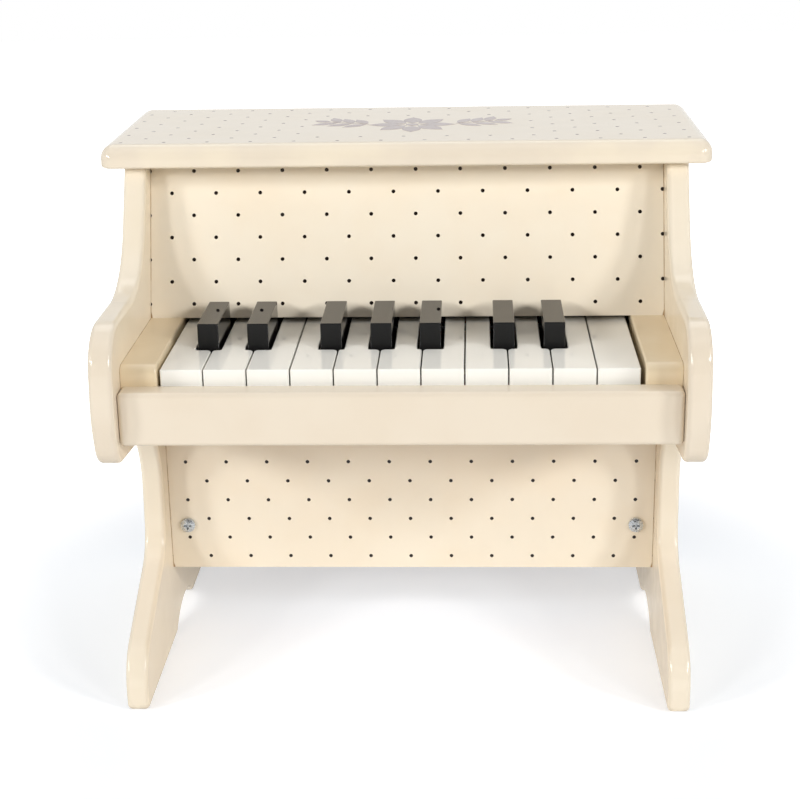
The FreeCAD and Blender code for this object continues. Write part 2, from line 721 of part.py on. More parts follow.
def white_levers():
    """For each white key: the edges of its front, and the edges of its lever between the black keys."""
    half_cut = size.black_width / 2 + size.black_side_gap
    middles = black_middles()
    levers = []
    for index in range(WHITE_KEYS):
        start = size.white_pitch * (index - WHITE_KEYS / 2) - size.keyboard_shift
        left = start + size.key_gap / 2
        right = start + size.white_pitch - size.key_gap / 2
        lever_left = middles[index] + half_cut if index in middles else left
        lever_right = middles[index + 1] - half_cut if index + 1 in middles else right
        levers.append((left, right, lever_left, lever_right))
    return levers


def bore_for_pivot(body, node, width):
    """The hole that a key turns on."""
    radius = size.pivot_rod_diameter / 2 + size.rod_clearance
    line = circle(body, node + "_bore_line", "YZ_Plane", -size.pivot_reach, size.pivot_rise, radius)
    pocket(body, node + "_bore", line, width, backwards=True)


def notch_rounds(outer, inner, notch, width):
    """The two corners of a cut beside a black key, each with a rounding that its width leaves room for."""
    outer_round = size.notch_round.at_most(width * NOTCH_ROUND_SHARE)
    inner_round = size.notch_inner_round.at_most(width * NOTCH_INNER_ROUND_SHARE)
    return [((outer, notch), outer_round), ((inner, notch), inner_round)]


def white_key(node, left, right, lever_left, lever_right):
    """A white key: a wide front, cut away beside the black keys, and a lever that runs to the back."""
    body = new_body(node, lever_left, datum, key_underside)
    front = key_front
    notch = black_front - size.black_front_gap
    head_left = left - lever_left
    head_right = right - lever_left
    lever_width = lever_right - lever_left
    corners = [(head_left, front), (head_right, front)]
    rounds = [(corner, size.key_corner_round) for corner in corners]
    if lever_right is not right:
        corners += [(head_right, notch), (lever_width, notch)]
        rounds += notch_rounds(head_right, lever_width, notch, head_right - lever_width)
    corners += [(lever_width, key_tail), (NONE, key_tail)]
    if lever_left is not left:
        corners += [(NONE, notch), (head_left, notch)]
        rounds += notch_rounds(head_left, NONE, notch, -head_left)
    shape = pad(body, node + "_lever", outline(body, node + "_plan", "XY_Plane", corners), size.key_height)
    for (across, along), radius in rounds:
        shape = rounding(body, node + "_corner", shape, radius, on_corner("X", across, "Y", along))
    rounding(body, node + "_top_edge", shape, size.key_edge_round,
             lambda edge: lies_at(edge, "Z", size.key_height))
    bore_for_pivot(body, node, lever_width)


def black_key(node, middle):
    """A black key: a raised block with sloping flanks, and a narrower lever that runs to the back."""
    body = new_body(node, middle - size.black_width / 2, datum, key_underside)
    inset = (size.black_width - size.black_top_width) / 2
    top = size.key_height + size.black_rise
    section = [
        (NONE, NONE),
        (size.black_width, NONE),
        (size.black_width - inset, top),
        (inset, top),
    ]
    raised = black_back - black_front
    line = outline(body, node + "_section", "XZ_Plane", section, size.black_front_reach)
    shape = pad(body, node + "_raised", line, raised, backwards=True)
    rounding(body, node + "_edges", shape, size.black_edge_round,
             lambda edge: not lies_at(edge, "Z", NONE))
    root = black_back - raised / 2
    plan = [
        (inset, root),
        (size.black_width - inset, root),
        (size.black_width - inset, key_tail),
        (inset, key_tail),
    ]
    lever = outline(body, node + "_plan", "XY_Plane", plan)
    pad(body, node + "_lever", lever, size.key_height - size.black_lever_drop)
    bore_for_pivot(body, node, size.black_width)


def hammer(node, middle, key_drop):
    """A hammer: a hub on its rod, an arm to the front, a foot for the key to lift and a head."""
    body = new_body(node, middle - size.hammer_hub_length / 2, datum + hammer_rod_place, hammer_height)
    half_arm = size.hammer_arm_depth / 2
    head_top = size.bar_rise - size.hammer_blow
    head_back = -size.hammer_head_reach + size.hammer_head_width / 2
    head_front = -size.hammer_head_reach - size.hammer_head_width / 2
    foot_back = -size.hammer_foot_reach + size.hammer_foot_width / 2
    foot_front = -size.hammer_foot_reach - size.hammer_foot_width / 2
    sole = size.seat_gap - size.hammer_rod_rise - key_drop
    corners = [
        (NONE, half_arm),
        (head_back, half_arm),
        (head_back, head_top),
        (head_front, head_top),
        (head_front, -half_arm),
        (foot_front, -half_arm),
        (foot_front, sole),
        (foot_back, sole),
        (foot_back, -half_arm),
        (NONE, -half_arm),
    ]
    side = (size.hammer_hub_length - size.hammer_width) / 2
    profile = outline(body, node + "_profile", "YZ_Plane", corners, side)
    shape = pad(body, node + "_arm", profile, size.hammer_width)
    tests = [on_corner("Y", across, "Z", along)
             for across, along in ((head_back, head_top), (head_front, head_top), (foot_front, sole),
                                   (foot_back, sole))]
    rounding(body, node + "_rounds", shape, size.hammer_round,
             lambda edge: any(test(edge) for test in tests))
    hub = circle(body, node + "_hub_line", "YZ_Plane", NONE, NONE, size.hammer_hub_diameter / 2)
    pad(body, node + "_hub", hub, size.hammer_hub_length)
    bore = size.hammer_rod_diameter / 2 + size.rod_clearance
    line = circle(body, node + "_bore_line", "YZ_Plane", NONE, NONE, bore)
    pocket(body, node + "_bore", line, size.hammer_hub_length, backwards=True)


def keyboard():
    """All keys, then the hammers in the order of their tones. Gives the middle of each lever."""
    middles = black_middles()
    tones = []
    drops = []
    for index, edges in enumerate(white_levers()):
        if index in middles:
            black_key("black_key_%d" % (len(tones) - index + 1), middles[index])
            tones.append(middles[index])
            drops.append(size.black_lever_drop)
        white_key("white_key_%d" % (index + 1), *edges)
        tones.append((edges[2] + edges[3]) / 2)
        drops.append(NONE)
    for number, (middle, drop) in enumerate(zip(tones, drops), start=1):
        hammer("hammer_%d" % number, middle, drop)
    return tones


def bar_lengths(tones):
    """A bar's tone rises with the square of its shortening, so each semitone takes off an equal share."""
    return [size.bar_longest * 2 ** (-number / (2 * TONES_IN_OCTAVE)) for number in range(len(tones))]


def still_points(tones):
    """How far the first and the last bar's still points lie from the middle of the bars."""
    lengths = bar_lengths(tones)
    return [length * (0.5 - STILL_POINT_SHARE) for length in (lengths[0], lengths[-1])]


def rail_lines(tones):
    """The lines under the bars' still points, each as its places at the first and at the last bar."""
    first, last = still_points(tones)
    return {
        "front": (bar_middle - first, bar_middle - last),
        "rear": (bar_middle + first, bar_middle + last),
    }


def place_on_line(line, tones, across):
    """The line's place at any distance across the case."""
    start, end = line
    share = (across.value - tones[0].value) / (tones[-1].value - tones[0].value)
    return start * (1 - share) + end * share


def bar_rail(node, line, tones, bottom, height, drill):
    """A strip across the case under the bars' still points, drilled for the pins."""
    left = place_on_line(line, tones, -half_inner)
    right = place_on_line(line, tones, half_inner)
    half = size.bar_rail_width / 2
    body = doc.addObject("PartDesign::Body", node)
    place(body, NONE, datum, bottom)
    corners = [
        (-half_inner, left - half),
        (half_inner, right - half),
        (half_inner, right + half),
        (-half_inner, left + half),
    ]
    pad(body, node + "_strip", outline(body, node + "_plan", "XY_Plane", corners), height)
    holes = new_sketch(body, node + "_holes", "XY_Plane", height)
    radius = size.pin_diameter / 2 + size.pin_clearance
    for number, across in enumerate(tones):
        along = place_on_line(line, tones, across)
        middle = Vector(across.value, along.value, 0)
        holes.addGeometry(Part.Circle(middle, Vector(0, 0, 1), radius.value), False)
        dimension(holes, Sketcher.Constraint("DistanceX", -1, 1, number, 3, across.value), across)
        dimension(holes, Sketcher.Constraint("DistanceY", -1, 1, number, 3, along.value), along)
        dimension(holes, Sketcher.Constraint("Radius", number, radius.value), radius)
    pocket(body, node + "_drill", holes, drill)
    return body


def tone_bar_supports(tones):
    """Two wooden rails and the felt strips on them."""
    strips = []
    depth = size.pin_depth - size.bar_felt_thickness + size.hole_overrun
    for name, line in rail_lines(tones).items():
        node = "tone_bar_%s_rail" % name
        bottom = bar_rail_top - size.bar_rail_height
        keep(bar_rail(node, line, tones, bottom, size.bar_rail_height, depth), node)
        strips.append(bar_rail("felt_" + name, line, tones, bar_rail_top, size.bar_felt_thickness,
                               size.bar_felt_thickness))
    keep(group("tone_bar_felts", strips), "tone_bar_felts")


def tone_bars(tones):
    """The bars, from long to short, with a hole over each rail, and the pins that hold them."""
    lines = rail_lines(tones)
    bars = []
    pins = []
    for across, length in zip(tones, bar_lengths(tones)):
        left = across - size.bar_width / 2
        front = bar_middle - length / 2
        bar = box("bar", (left, front, bar_underside), (size.bar_width, length, size.bar_thickness))
        drills = []
        for line in lines.values():
            along = place_on_line(line, tones, across)
            start = (across, along, bar_underside - size.hole_overrun)
            through = size.bar_thickness + size.hole_overrun * 2
            drills.append(cylinder("bar_drill", start, UPRIGHT, size.bar_hole_diameter, through))
            pins.append(bar_pin(across, along))
        bars.append(cut("tone_bar", bar, group("bar_drills", drills)))
    for node, members in (("tone_bars", bars), ("tone_bar_pins", pins)):
        place(keep(group(node, members), node), NONE, datum, NONE)


def bar_pin(across, along):
    """A pin with a flat head that rests on its bar."""
    bar_top = bar_underside + size.bar_thickness
    tip = bar_underside - size.pin_depth
    shank = cylinder("pin_shank", (across, along, tip), UPRIGHT, size.pin_diameter, bar_top - tip)
    head = cylinder("pin_head", (across, along, bar_top), UPRIGHT,
                    size.pin_head_diameter, size.pin_head_height)
    pin = doc.addObject("Part::Fuse", "pin")
    pin.Base = shank
    pin.Tool = head
    return pin


def check_document():
    """Stop if anything failed to build."""
    doc.recompute()
    for item in doc.Objects:
        if "Invalid" in item.State or "Error" in item.State:
            raise ValueError("%s failed to build" % item.Label)
    for item in subparts:
        if item.Shape.isNull() or not item.Shape.isValid():
            raise ValueError("%s has no valid shape" % item.Label)


def write_parts():
    os.makedirs("parts", exist_ok=True)
    for item in subparts:
        item.Shape.exportStep(os.path.join("parts", item.Label + ".step"))
    print("wrote %d pieces" % len(subparts))


side_boards()
lid()
upper_panel()
lower_panel()
screws("lower_panel_screws", screw_spots(), NONE, FreeCAD.Rotation(Vector(1, 0, 0), 90))
front_rail()
key_blocks()
key_bed()
back_panel()
screws("back_panel_screws", back_screw_spots(), back_panel_outside, TO_THE_BACK)
lid_cleats()
felts()
rods()
tone_middles = keyboard()
tone_bar_supports(tone_middles)
tone_bars(tone_middles)
check_document()
write_parts()
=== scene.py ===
# %% [markdown]
# # A toy piano with a dotted front
# The wooden case, the keys, the hammers and the tone bars arrive as ready solids in metres, each under
# its own name. This lesson gives them their paint, print, gloss, wood and metal, and sets up a small
# photo studio. The solids could also be modelled again here, but keeping them keeps every key on its rod.

# %% Load the piano
import math

import bmesh
import bpy
from mathutils import Matrix, Vector


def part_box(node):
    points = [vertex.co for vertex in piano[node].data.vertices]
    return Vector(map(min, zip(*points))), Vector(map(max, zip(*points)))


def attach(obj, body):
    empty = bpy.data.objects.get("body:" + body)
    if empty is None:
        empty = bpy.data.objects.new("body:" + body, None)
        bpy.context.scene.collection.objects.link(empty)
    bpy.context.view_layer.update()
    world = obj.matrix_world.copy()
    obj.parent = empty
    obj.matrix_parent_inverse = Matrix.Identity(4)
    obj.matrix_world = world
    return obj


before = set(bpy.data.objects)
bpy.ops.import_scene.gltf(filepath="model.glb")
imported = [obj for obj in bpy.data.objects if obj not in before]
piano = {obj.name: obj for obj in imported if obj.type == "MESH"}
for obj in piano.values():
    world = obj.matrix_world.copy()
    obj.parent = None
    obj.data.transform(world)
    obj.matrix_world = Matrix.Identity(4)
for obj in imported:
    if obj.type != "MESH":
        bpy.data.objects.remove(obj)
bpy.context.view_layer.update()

# %% [markdown]
# ## The camera
# The picture was taken from in front of the piano, a little to the right and well above it, with a long
# lens. A camera can be aimed with a Track To constraint, but a matrix states the exact turn: its
# columns are the camera's right, up and backward directions, and the small roll keeps the lid as level
# as in the picture.

# %% Place the camera
CAMERA_SPOT = Vector((0.035586, -0.870652, 0.440024))
YAW, PITCH, ROLL = -0.046129, 0.32691, 0.018347
LENS_MM, SENSOR_MM = 75.135, 36

ahead = Vector((math.sin(YAW) * math.cos(PITCH), math.cos(YAW) * math.cos(PITCH), -math.sin(PITCH)))
level_right = Vector((math.cos(YAW), -math.sin(YAW), 0))
level_down = ahead.cross(level_right)
right = math.cos(ROLL) * level_right + math.sin(ROLL) * level_down
down = math.cos(ROLL) * level_down - math.sin(ROLL) * level_right

lens = bpy.data.cameras.new("photo_lens")
lens.lens = LENS_MM
lens.sensor_width = SENSOR_MM
camera = bpy.data.objects.new("photo_camera", lens)
turn = Matrix((right, -down, -ahead)).transposed().to_4x4()
camera.matrix_world = Matrix.Translation(CAMERA_SPOT) @ turn
bpy.context.scene.collection.objects.link(camera)
bpy.context.scene.camera = camera
print("camera looks along", [round(x, 3) for x in ahead])

# %% [markdown]
# ## Wiring nodes
# Every finish below is a tree of shader nodes. Typing each node by hand takes many lines, so one small
# class adds a node, sets it and joins its sockets. A value that is a socket becomes a link, anything
# else is a number or a colour that is written straight onto the socket.

# %% A helper that wires nodes
# A Mix node holds sockets for several kinds of value: these are the share, the two colours and the result
MIX_INPUTS = (0, 6, 7)
MIX_RESULT = 2


class Wiring:
    """Adds nodes to one tree and joins their sockets."""

    def __init__(self, tree):
        self.tree = tree

    def join(self, value, socket):
        if isinstance(value, bpy.types.NodeSocket):
            self.tree.links.new(value, socket)
        else:
            socket.default_value = value

    def add(self, kind, sockets=None, **settings):
        node = self.tree.nodes.new(kind)
        for name, value in settings.items():
            setattr(node, name, value)
        for name, value in (sockets or {}).items():
            self.join(value, node.inputs[name])
        return node

    def math(self, operation, *values):
        node = self.add("ShaderNodeMath", operation=operation)
        for socket, value in zip(node.inputs, values):
            self.join(value, socket)
        return node.outputs[0]

    def ramp(self, value, low, high, first=0.0, last=1.0):
        """Runs smoothly from first to last while value goes from low to high."""
        sockets = {"Value": value, "From Min": low, "From Max": high, "To Min": first, "To Max": last}
        node = self.add("ShaderNodeMapRange", sockets, interpolation_type="SMOOTHSTEP")
        return node.outputs[0]

    def noise(self, place, scale, detail=2.0):
        sockets = {"Vector": place, "Scale": scale, "Detail": detail}
        return self.add("ShaderNodeTexNoise", sockets).outputs["Fac"]

    def blend(self, share, first, second):
        """A colour between two others."""
        node = self.add("ShaderNodeMix", data_type="RGBA")
        for index, value in zip(MIX_INPUTS, (share, first, second)):
            self.join(value, node.inputs[index])
        return node.outputs[MIX_RESULT]

    def stretch(self, place, scale, turn=(0, 0, 0)):
        """Moves a pattern's coordinates, so that it is longer along one direction."""
        return self.add("ShaderNodeMapping", {"Vector": place, "Scale": scale, "Rotation": turn}).outputs[0]

    def effect(self, tree, **sockets):
        """Places a shared node group."""
        node = self.add("ShaderNodeGroup", node_tree=tree)
        for name, value in sockets.items():
            self.join(value, node.inputs[name])
        return node.outputs


def colour(red, green, blue):
    """A colour picked from a screen in steps of 0 to 255, as the linear values that shaders take (sRGB)."""
    steps = [step / 255 for step in (red, green, blue)]
    linear = [s / 12.92 if s <= 0.04045 else ((s + 0.055) / 1.055) ** 2.4 for s in steps]
    return (*linear, 1.0)


print("half grey on a screen is", [round(part, 3) for part in colour(128, 128, 128)])

# %% [markdown]
# ## The studio
# The piano stands on white between soft lamps: two on each side, in front of it and low, a weak one
# above and one behind. The side lamps throw shadows inwards from the side boards and the lid. Area
# lamps make such soft light, and lamps that stand far off light near and far boards alike. The world
# adds the light that white walls send back.

# %% Hang the lamps
def soft_lamp(name, spot, aim, size, power):
    """An area lamp of a width and height in metres, aimed at a spot, with its power in watts."""
    lamp = bpy.data.lights.new(name, "AREA")
    lamp.shape = "RECTANGLE"
    lamp.size, lamp.size_y = size
    lamp.energy = power
    stand = bpy.data.objects.new(name, lamp)
    stand.location = spot
    stand.rotation_euler = (Vector(aim) - Vector(spot)).to_track_quat("-Z", "Y").to_euler()
    bpy.context.scene.collection.objects.link(stand)


MIDDLE = (0, 0, 0.17)
NEAR_SIZE, FAR_SIZE = (0.45, 0.45), (0.45, 0.60)
TOP_SIZE, REAR_SIZE = (2.00, 1.20), (2.00, 0.80)
soft_lamp("left_lamp", (-1.90, -2.40, 1.20), MIDDLE, NEAR_SIZE, 22.5)
soft_lamp("right_lamp", (1.90, -2.40, 1.20), MIDDLE, NEAR_SIZE, 18.5)
soft_lamp("far_left_lamp", (-2.50, -1.55, 1.35), MIDDLE, FAR_SIZE, 29.5)
soft_lamp("far_right_lamp", (2.50, -1.55, 1.35), MIDDLE, FAR_SIZE, 34.5)
soft_lamp("top_lamp", (0.0, -0.15, 1.90), (0, -0.15, 0), TOP_SIZE, 2.5)
soft_lamp("rear_lamp", (0.0, 0.90, 1.70), (0, 0.05, 0.25), REAR_SIZE, 8.0)
print("lamps", [light.name for light in bpy.data.lights])

# %% Light the white room
AMBIENT = 0.20
DIM_FRONT = 0.05
FRONT_REACH = (-0.8, -0.2)
WHITE = (1.0, 1.0, 1.0, 1.0)

room = bpy.data.worlds.new("white_room")
bpy.context.scene.world = room
room.use_nodes = True
wire = Wiring(room.node_tree)
backdrop = room.node_tree.nodes["Background"]
rays = wire.add("ShaderNodeLightPath").outputs
mirrored = wire.math("MAXIMUM", rays["Is Glossy Ray"], rays["Is Transmission Ray"])
heading = wire.add("ShaderNodeTexCoord").outputs["Generated"]
direction = wire.add("ShaderNodeSeparateXYZ", {0: heading}).outputs
mirror_light = wire.ramp(direction["Y"], *FRONT_REACH, DIM_FRONT, 1.0)
light = wire.ramp(mirrored, 0.0, 1.0, AMBIENT, mirror_light)
wire.join(WHITE, backdrop.inputs["Color"])
wire.join(wire.ramp(rays["Is Camera Ray"], 0.0, 1.0, light, 1.0), backdrop.inputs["Strength"])
view = bpy.context.scene.view_settings
view.view_transform = "Standard"
print("room light", AMBIENT, "view", view.view_transform)

# %% [markdown]
# ## The floor
# The floor is a white sheet that runs out of the picture. It catches the soft shadow under the piano.
# Light that mostly the camera sees lifts it to white, so no lamp has to be brighter than the piano
# needs. Near the piano that light is a little cool, because the cream boards warm the floor round them.
# Between the feet the lift is uneven: a painted pool of light in front of the lower panel and a painted
# shadow behind it. For all other rays the floor glows a little, a painted bounce light on the piano.

# %% Lay the floor
FLOOR_HALF, FLOOR_SQUARES = 3.0, 8
# Painted bounce light: for all rays but the camera's the floor glows at this strength and lights the piano
# from below
FLOOR_GLOW = 0.13
FLOOR_LIFT = 0.38
# Painted light in front of the lower panel and painted shadow behind it, between the feet
PAINTED_FRONT_LIGHT = 0.10
PAINTED_UNDER_SHADOW = -0.07
COOL = (0.80, 0.885, 1.0, 1.0)
COOL_END = 0.5
FAR_REACH = (0.15, 0.55)
FEET_REACH = (0.09, 0.15)
PANEL_REACH = (0.0, 0.09)
PAPER, PAPER_PALE = (0.83, 0.83, 0.83, 1.0), (0.86, 0.86, 0.86, 1.0)
PAPER_ROUGHNESS = 0.9
FIBRE_SCALE = 900.0

sheet = bmesh.new()
bmesh.ops.create_grid(sheet, x_segments=FLOOR_SQUARES, y_segments=FLOOR_SQUARES, size=FLOOR_HALF)
floor_mesh = bpy.data.meshes.new("white_floor")
sheet.to_mesh(floor_mesh)
sheet.free()
floor = bpy.data.objects.new("white_floor", floor_mesh)
bpy.context.scene.collection.objects.link(floor)

floor_paper = bpy.data.materials.new("floor_paper")
floor_paper.use_nodes = True
wire = Wiring(floor_paper.node_tree)
paper = floor_paper.node_tree.nodes["Principled BSDF"]
paper.inputs["Roughness"].default_value = PAPER_ROUGHNESS
paper.inputs["Specular IOR Level"].default_value = 0.0
where = wire.add("ShaderNodeTexCoord").outputs["Object"]
away = wire.add("ShaderNodeVectorMath", {0: where}, operation="LENGTH").outputs["Value"]
far = wire.ramp(away, *FAR_REACH)
axes = wire.add("ShaderNodeSeparateXYZ", {0: where}).outputs
between_feet = wire.ramp(wire.math("ABSOLUTE", axes["X"]), *FEET_REACH, 1.0, 0.0)
# Painted light and shadow: between the feet the camera's lift rises in front of the lower panel and drops
# behind it
painted_light_and_shadow = wire.ramp(axes["Y"], *PANEL_REACH, PAINTED_FRONT_LIGHT, PAINTED_UNDER_SHADOW)
near_lift = wire.math("MULTIPLY_ADD", between_feet, painted_light_and_shadow, FLOOR_LIFT)
fibre = wire.noise(where, FIBRE_SCALE)
wire.join(wire.blend(fibre, PAPER, PAPER_PALE), paper.inputs["Base Color"])
camera_ray = wire.add("ShaderNodeLightPath").outputs["Is Camera Ray"]
lift = wire.ramp(camera_ray, 0.0, 1.0, FLOOR_GLOW, wire.ramp(far, 0.0, 1.0, near_lift, 1.0))
tint = wire.blend(wire.ramp(far, 0.0, COOL_END), COOL, WHITE)
wire.join(wire.blend(camera_ray, WHITE, tint), paper.inputs["Emission Color"])
wire.join(lift, paper.inputs["Emission Strength"])
floor_mesh.materials.append(floor_paper)
print("floor", FLOOR_HALF * 2, "m wide")

# %% [markdown]
# ## Shared effect: sprayed paint
# The case is cream paint, sprayed and sanded smooth. Sprayed paint is never quite even: its tone drifts
# over some centimetres, and its skin has a fine ripple called orange peel. A bought texture could show
# this, but noise in object coordinates keeps one scale on every board. The group gives out a colour, a
# roughness and a height.

# %% Build the paint group
def new_effect(name, inputs, outputs):
    """An empty node group with named sockets."""
    tree = bpy.data.node_groups.new(name, "ShaderNodeTree")
    for label, kind in inputs.items():
        tree.interface.new_socket(name=label, in_out="INPUT", socket_type="NodeSocket" + kind)
    for label, kind in outputs.items():
        tree.interface.new_socket(name=label, in_out="OUTPUT", socket_type="NodeSocket" + kind)
    wire = Wiring(tree)
    return tree, wire, wire.add("NodeGroupInput").outputs, wire.add("NodeGroupOutput").inputs


DRIFT_SCALE, DRIFT_RANGE = 26.0, (0.35, 0.7)
SHINE_SCALE, SHINE_RANGE, PAINT_ROUGHNESS = 70.0, (0.3, 0.7), (0.10, 0.16)
PEEL_SCALE = 520.0
NIB_SCALE, NIB_RANGE, NIB_HEIGHT = 340.0, (0.74, 0.82), 0.6

sprayed_paint, wire, given, made = new_effect(
    "sprayed_paint", {"Place": "Vector", "Paint": "Color", "Drift": "Color"},
    {"Colour": "Color", "Roughness": "Float", "Height": "Float"})
drift = wire.ramp(wire.noise(given["Place"], DRIFT_SCALE, detail=3.0), *DRIFT_RANGE)
wire.join(wire.blend(drift, given["Paint"], given["Drift"]), made["Colour"])
shine = wire.noise(given["Place"], SHINE_SCALE)
wire.join(wire.ramp(shine, *SHINE_RANGE, *PAINT_ROUGHNESS), made["Roughness"])
peel = wire.noise(given["Place"], PEEL_SCALE, detail=1.0)
nibs = wire.ramp(wire.noise(given["Place"], NIB_SCALE, detail=0.0), *NIB_RANGE)
wire.join(wire.math("MULTIPLY_ADD", nibs, NIB_HEIGHT, peel), made["Height"])
print("group", sprayed_paint.name)

# %% [markdown]
# ## Shared effect: printed dots
# Both panels and the lid are printed with small dark dots in staggered rows. Turned by 45 degrees such
# rows are a plain square grid, so the sum and the difference of the two coordinates, less their nearest
# whole numbers, give the distance to the nearest dot. A little noise makes the ink's edge ragged.

# %% Build the dot group
INK_SCALE, INK_RAGGED = 2600.0, 0.012
RIM_BLUR = (0.001, 0.011)

printed_dots, wire, given, made = new_effect(
    "printed_dots", {"Across": "Float", "Along": "Float", "Radius": "Float", "Place": "Vector"},
    {"Dots": "Float"})
turned = (wire.math("ADD", given["Across"], given["Along"]),
          wire.math("SUBTRACT", given["Across"], given["Along"]))
off_grid = [wire.math("SUBTRACT", part, wire.math("ROUND", part)) for part in turned]
squares = [wire.math("MULTIPLY", part, part) for part in off_grid]
to_dot = wire.math("SQRT", wire.math("MULTIPLY", wire.math("ADD", *squares), 0.5))
ragged = wire.math("MULTIPLY_ADD", wire.noise(given["Place"], INK_SCALE), INK_RAGGED, to_dot)
past_rim = wire.math("SUBTRACT", ragged, given["Radius"])
wire.join(wire.ramp(past_rim, *RIM_BLUR, 1.0, 0.0), made["Dots"])
print("group", printed_dots.name)

# %% [markdown]
# ## Shared effect: joint lines
# Where two boards meet, the paint breaks along a thin dark line and dust gathers in it. The boards
# touch exactly in the solids, so the line is drawn by the distance to the joint, and noise breaks it
# up.

# %% Build the joint group
LINE_BLUR = (0.35, 1.0)
BREAK_SCALE, BREAK_RANGE, BREAK_SHARE = 90.0, (0.3, 0.6), (0.45, 1.0)

joint_line, wire, given, made = new_effect(
    "joint_line", {"Distance": "Float", "Width": "Float", "Place": "Vector"}, {"Line": "Float"})
share = wire.math("DIVIDE", given["Distance"], given["Width"])
line = wire.ramp(share, *LINE_BLUR, 1.0, 0.0)
broken = wire.ramp(wire.noise(given["Place"], BREAK_SCALE, detail=3.0), *BREAK_RANGE, *BREAK_SHARE)
wire.join(wire.math("MULTIPLY", line, broken), made["Line"])
print("group", joint_line.name)

# %% [markdown]
# ## The cream case
# The side boards and the front rail are plain cream, with painted shade that makes the rail and the noses of
# the arms a touch deeper. The feet get scuffed where they slide over the floor, so the paint greys a little
# near the ground. Painted masks could show such shade and wear, but ramps along Y and Z follow the boards
# without any painting.

# %% Paint the boards
CREAM = colour(241, 229, 208)
CREAM_DEEP = colour(239, 226, 203)
# Painted shade: a deeper cream for the parts that stand furthest forward and for the lid's rounded edge
SHADED_CREAM = colour(231, 218, 198)
SHADED_CREAM_DEEP = colour(229, 215, 194)
SEAM = colour(166, 136, 97)
SCUFF = colour(216, 203, 182)
GRAZE = 0.005
NOSE_SHADE_REACH = (-0.112, -0.088)
SCUFF_SCALE, SCUFF_RANGE, SCUFF_ROUGHNESS = 260.0, (0.45, 0.6), 0.4
PAINT_IOR = 1.5
PEEL_DEPTH = 0.000012


def new_finish(name, **fixed):
    """A material whose shader has these fixed values, with its wiring, shader and object coordinates."""
    material = bpy.data.materials.new(name)
    material.use_nodes = True
    wire = Wiring(material.node_tree)
    shader = material.node_tree.nodes["Principled BSDF"]
    for label, value in fixed.items():
        shader.inputs[label.replace("_", " ")].default_value = value
    return material, wire, shader, wire.add("ShaderNodeTexCoord").outputs["Object"]


def raise_surface(wire, shader, height, distance, strength=1.0):
    """Feeds a height to the shader's normal through a Bump node."""
    bump = wire.add("ShaderNodeBump", {"Height": height, "Distance": distance, "Strength": strength})
    wire.join(bump.outputs[0], shader.inputs["Normal"])


def dress(material, *names):
    """Gives pieces of the piano their finish."""
    for name in names:
        for spot in piano[name].material_slots:
            spot.material = material
    print(material.name, "on", len(names), "pieces")


case_paint, wire, shader, place = new_finish("case_paint", IOR=PAINT_IOR)
axes = wire.add("ShaderNodeSeparateXYZ", {0: place}).outputs
# Painted shade: the forward parts, the arms' noses and the rail's front, get the deeper cream
forward_shade = wire.ramp(axes["Y"], *NOSE_SHADE_REACH, 1.0, 0.0)
skin = wire.effect(sprayed_paint, Place=place, Paint=wire.blend(forward_shade, CREAM, SHADED_CREAM),
                   Drift=wire.blend(forward_shade, CREAM_DEEP, SHADED_CREAM_DEEP))
low_down = wire.ramp(axes["Z"], 0.0, GRAZE, 1.0, 0.0)
wear = wire.ramp(wire.noise(place, SCUFF_SCALE, detail=4.0), *SCUFF_RANGE)
scuffed = wire.math("MULTIPLY", low_down, wear)
wire.join(wire.blend(scuffed, skin["Colour"], SCUFF), shader.inputs["Base Color"])
wire.join(wire.math("MULTIPLY_ADD", scuffed, SCUFF_ROUGHNESS, skin["Roughness"]), shader.inputs["Roughness"])
raise_surface(wire, shader, skin["Height"], PEEL_DEPTH)
dress(case_paint, "left_side", "right_side", "front_rail")

# %% [markdown]
# ## The key blocks
# The two blocks at the ends of the keyboard are painted a deeper tan than the cream, as painted shade for
# the corner each sits in beside an arm. Their joint with the side board shows as a thin dark line, so the
# finish adds a joint line that is measured from the block's outer face.

# %% Paint the key blocks
# Painted shade: the blocks' cream is deepened to a tan
SHADED_BLOCK = colour(237, 219, 187)
SHADED_BLOCK_DEEP = colour(233, 213, 178)
SEAM_WIDTH = 0.00040
inner_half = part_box("right_key_block")[1].x

shaded_block_paint, wire, shader, place = new_finish("shaded_block_paint", IOR=PAINT_IOR)
skin = wire.effect(sprayed_paint, Place=place, Paint=SHADED_BLOCK, Drift=SHADED_BLOCK_DEEP)
across = wire.add("ShaderNodeSeparateXYZ", {0: place}).outputs["X"]
to_side = wire.math("SUBTRACT", inner_half, wire.math("ABSOLUTE", across))
seam = wire.effect(joint_line, Distance=to_side, Width=SEAM_WIDTH, Place=place)["Line"]
wire.join(wire.blend(seam, skin["Colour"], SEAM), shader.inputs["Base Color"])
wire.join(skin["Roughness"], shader.inputs["Roughness"])
raise_surface(wire, shader, skin["Height"], PEEL_DEPTH)
dress(shaded_block_paint, "left_key_block", "right_key_block")

# %% [markdown]
# ## The dotted panels
# The upper and the lower panel carry the dots on their front face only. Dots could be cut out as small
# discs, but a mask from the object coordinates stays exact and costs no mesh. Each panel has its own
# spacing and its own starting dot, both measured on the picture, and ink lies a little flatter than the
# paint around it. The joint line at each end widens at the panel's foot into a painted corner shade.

